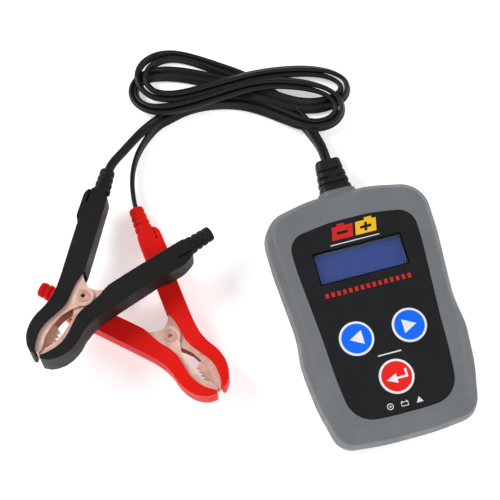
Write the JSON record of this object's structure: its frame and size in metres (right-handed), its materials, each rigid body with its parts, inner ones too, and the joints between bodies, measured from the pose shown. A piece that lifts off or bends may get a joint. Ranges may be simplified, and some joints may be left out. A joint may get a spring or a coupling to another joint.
{
  "type": "hand-held battery tester",
  "caption": "Waisted hand-held battery tester with a recessed display, three round keys, and two wound flat leads ending in spring clamps.",
  "frame": {"origin": "middle of the housing's flat back face, on the surface that the tester lies on", "axes": "+Y along the housing towards the leads, +X to the right seen from the keys, +Z out of the front panel"},
  "size_m": [0.2013, 0.2259, 0.0345],
  "materials": {
    "housing_grey": "fine moulded texture",
    "panel_black": "satin film",
    "window_clear": "clear",
    "bezel_grey": "satin",
    "lcd_blue": "satin",
    "white_plastic": "satin",
    "board_green": "solder mask",
    "silicone_grey": "matte",
    "contact_gold": "plated",
    "chip_black": "moulded epoxy",
    "ceramic_white": "cement",
    "capacitor_sleeve": "sleeve",
    "core_insulation": "wire insulation",
    "zinc_steel": "zinc plated",
    "boot_black": "satin",
    "key_white": "satin",
    "key_blue": "satin",
    "key_red": "satin",
    "lead_black": "satin jacket",
    "clamp_red": "satin moulded",
    "clamp_black": "satin moulded",
    "copper_plate": "copper plated",
    "tinned_lug": "tinned",
    "rivet_steel": "nickel plated",
    "spring_steel": "oiled steel"
  },
  "bodies": {
    "tester": {"black_clamp_cable_cover": "clamp_black", "black_clamp_cable_jaw": "copper_plate", "black_clamp_cable_teeth": "copper_plate", "black_clamp_lug": "tinned_lug", "black_clamp_rivet": "rivet_steel", "black_clamp_spring": "spring_steel", "black_lead_exit": "lead_black", "black_lead_tail": "lead_black", "board_screws": "zinc_steel", "capacitors": "capacitor_sleeve", "case_screws": "zinc_steel", "circuit_board": "board_green", "controller_chip": "chip_black", "display_window": "window_clear", "faceplate": "panel_black", "front_case": "housing_grey", "key_contacts": "contact_gold", "keypad": "silicone_grey", "lcd_backlight": "white_plastic", "lcd_bezel": "bezel_grey", "lcd_panel": "lcd_blue", "lead_cores": "core_insulation", "lead_hank": "lead_black", "load_resistors": "ceramic_white", "power_transistors": "chip_black", "rear_case": "housing_grey", "red_clamp_cable_cover": "clamp_red", "red_clamp_cable_jaw": "copper_plate", "red_clamp_cable_teeth": "copper_plate", "red_clamp_lug": "tinned_lug", "red_clamp_rivet": "rivet_steel", "red_clamp_spring": "spring_steel", "red_lead_exit": "lead_black", "red_lead_tail": "lead_black", "strain_relief": "boot_black"},
    "key_left": {"key_left": "key_white", "key_left_face": "key_blue"},
    "key_right": {"key_right": "key_white", "key_right_face": "key_blue"},
    "key_enter": {"key_enter": "key_white", "key_enter_face": "key_red"},
    "red_free_half": {"red_clamp_free_cover": "clamp_red", "red_clamp_free_jaw": "copper_plate", "red_clamp_free_teeth": "copper_plate", "red_clamp_spring_leg": "spring_steel"},
    "black_free_half": {"black_clamp_free_cover": "clamp_black", "black_clamp_free_jaw": "copper_plate", "black_clamp_free_teeth": "copper_plate", "black_clamp_spring_leg": "spring_steel"}
  },
  "joints": [
    {"name": "key_left_press", "type": "slide", "parent": "tester", "child": "key_left", "axis": [0, 0, -1], "range_m": [0, 0.0006], "stiffness_N_per_m": 100, "springref_m": -0.002},
    {"name": "key_right_press", "type": "slide", "parent": "tester", "child": "key_right", "axis": [0, 0, -1], "range_m": [0, 0.0006], "stiffness_N_per_m": 100, "springref_m": -0.002},
    {"name": "key_enter_press", "type": "slide", "parent": "tester", "child": "key_enter", "axis": [0, 0, -1], "range_m": [0, 0.0006], "stiffness_N_per_m": 100, "springref_m": -0.002},
    {"name": "red_clamp_hinge", "type": "hinge", "parent": "tester", "child": "red_free_half", "pos_m": [-0.0955, 0.0142, 0.0075], "axis": [0.0109, -0.0208, -0.9997], "range_deg": [0, 36], "stiffness_Nm_per_rad": 0.25, "springref_deg": -34.38, "deforming": ["red_clamp_spring", "red_clamp_spring_leg"]},
    {"name": "black_clamp_hinge", "type": "hinge", "parent": "tester", "child": "black_free_half", "pos_m": [-0.1302, 0.0387, 0.0233], "axis": [0.0298, 0.1093, 0.9936], "range_deg": [0, 36], "stiffness_Nm_per_rad": 0.25, "springref_deg": -34.38, "deforming": ["black_clamp_spring", "black_clamp_spring_leg"]}
  ]
}
